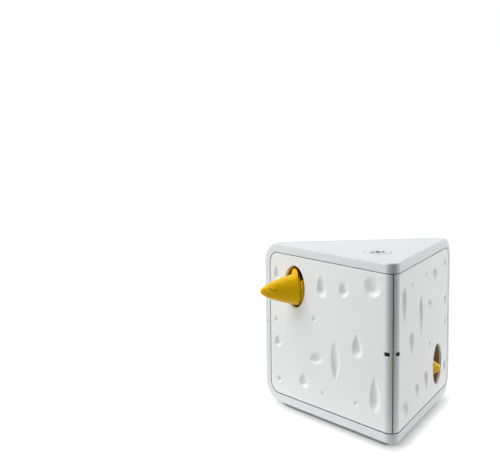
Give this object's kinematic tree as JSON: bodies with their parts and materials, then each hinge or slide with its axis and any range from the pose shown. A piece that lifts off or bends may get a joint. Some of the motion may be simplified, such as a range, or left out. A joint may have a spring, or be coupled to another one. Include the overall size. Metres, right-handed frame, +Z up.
{
  "type": "automatic cheese cat toy",
  "caption": "Battery cat toy: a white three-cornered housing dented like cheese, with yellow mice that slide in and out of holes on a geared rack drive.",
  "frame": {"origin": "Middle of the footprint box, on the surface that the toy stands on.", "axes": "+Z up, +Y from the front seam towards the flat back, +X to the right as seen from the front, along the travel of both mice."},
  "size_m": [0.2485, 0.2074, 0.2035],
  "materials": {
    "housing_white": "moulded glossy white plastic",
    "panel_white": "moulded glossy white plastic with shallow dents",
    "mouse_yellow": "moulded glossy deep yellow plastic",
    "liner_yellow": "satin brown-yellow plastic",
    "deck_charcoal": "matte charcoal plastic",
    "grey_plastic": "matte grey plastic",
    "nylon": "satin natural nylon",
    "steel": "plain bright steel",
    "brass": "plain turned brass",
    "board_green": "green solder mask",
    "cell_sleeve": "printed sleeve, plain dark blue",
    "foot_rubber": "soft dark grey rubber"
  },
  "bodies": {
    "housing": {"upper_shell": "housing_white", "lower_shell": "housing_white", "battery_door": "housing_white", "left_panel": "panel_white", "right_panel": "panel_white", "upper_tunnel": "liner_yellow", "lower_tunnel": "liner_yellow", "mid_deck": "deck_charcoal", "switch_body": "deck_charcoal", "gear_cover": "grey_plastic", "lower_bridge": "grey_plastic", "upper_guide_rod": "steel", "lower_guide_rod": "steel", "idler_pin": "steel", "motor": "steel", "flat_contact_1": "steel", "flat_contact_2": "steel", "flat_contact_3": "steel", "spring_contact_1": "steel", "spring_contact_2": "steel", "spring_contact_3": "steel", "front_housing_screw": "steel", "left_housing_screw": "steel", "right_housing_screw": "steel", "door_screw": "steel", "board_screw_1": "steel", "board_screw_2": "steel", "cover_screw_1": "steel", "cover_screw_2": "steel", "cover_screw_3": "steel", "cover_screw_4": "steel", "bridge_screw_1": "steel", "bridge_screw_2": "steel", "motor_screw_1": "steel", "motor_screw_2": "steel", "deck_bush": "brass", "circuit_board": "board_green", "battery_cell_1": "cell_sleeve", "battery_cell_2": "cell_sleeve", "battery_cell_3": "cell_sleeve", "front_foot": "foot_rubber", "left_foot": "foot_rubber", "right_foot": "foot_rubber"},
    "drive": {"drive_shaft": "steel", "output_gear": "nylon", "lower_pinion": "nylon"},
    "idler": {"idler_gear": "nylon"},
    "rotor": {"motor_gear": "brass"},
    "upper_mouse": {"upper_carriage": "nylon", "upper_mouse_body": "mouse_yellow", "upper_mouse_head": "mouse_yellow"},
    "lower_mouse": {"lower_carriage": "nylon", "lower_mouse_body": "mouse_yellow", "lower_mouse_head": "mouse_yellow"},
    "button": {"power_button": "housing_white", "switch_plunger": "deck_charcoal"}
  },
  "joints": [
    {"name": "upper_slide", "type": "slide", "parent": "housing", "child": "upper_mouse", "axis": [1, 0, 0], "range_m": [0, 0.0377]},
    {"name": "lower_slide", "type": "slide", "parent": "housing", "child": "lower_mouse", "axis": [1, 0, 0], "range_m": [0, 0.0378]},
    {"name": "drive_turn", "type": "hinge", "parent": "housing", "child": "drive", "pos_m": [0.00611, 0.0226, 0.1025], "axis": [0, 0, -1], "range_deg": [0, 308.97]},
    {"name": "idler_turn", "type": "hinge", "parent": "housing", "child": "idler", "pos_m": [0.00611, 0.0073, 0.1025], "axis": [0, 0, -1], "range_deg": [-741.57, 0]},
    {"name": "motor_turn", "type": "hinge", "parent": "housing", "child": "rotor", "pos_m": [0.00611, -0.008, 0.1025], "axis": [0, 0, -1], "range_deg": [0, 1780.37]},
    {"name": "button_press", "type": "slide", "parent": "housing", "child": "button", "axis": [0, 0, -1], "range_m": [0, 0.0012], "stiffness_N_per_m": 800}
  ],
  "couplings": [
    {"joint": "lower_slide", "follows": "upper_slide", "ratio": 1},
    {"joint": "drive_turn", "follows": "upper_slide", "rad_per_m": 142.86},
    {"joint": "idler_turn", "follows": "upper_slide", "rad_per_m": -342.86},
    {"joint": "motor_turn", "follows": "upper_slide", "rad_per_m": 822.86}
  ]
}
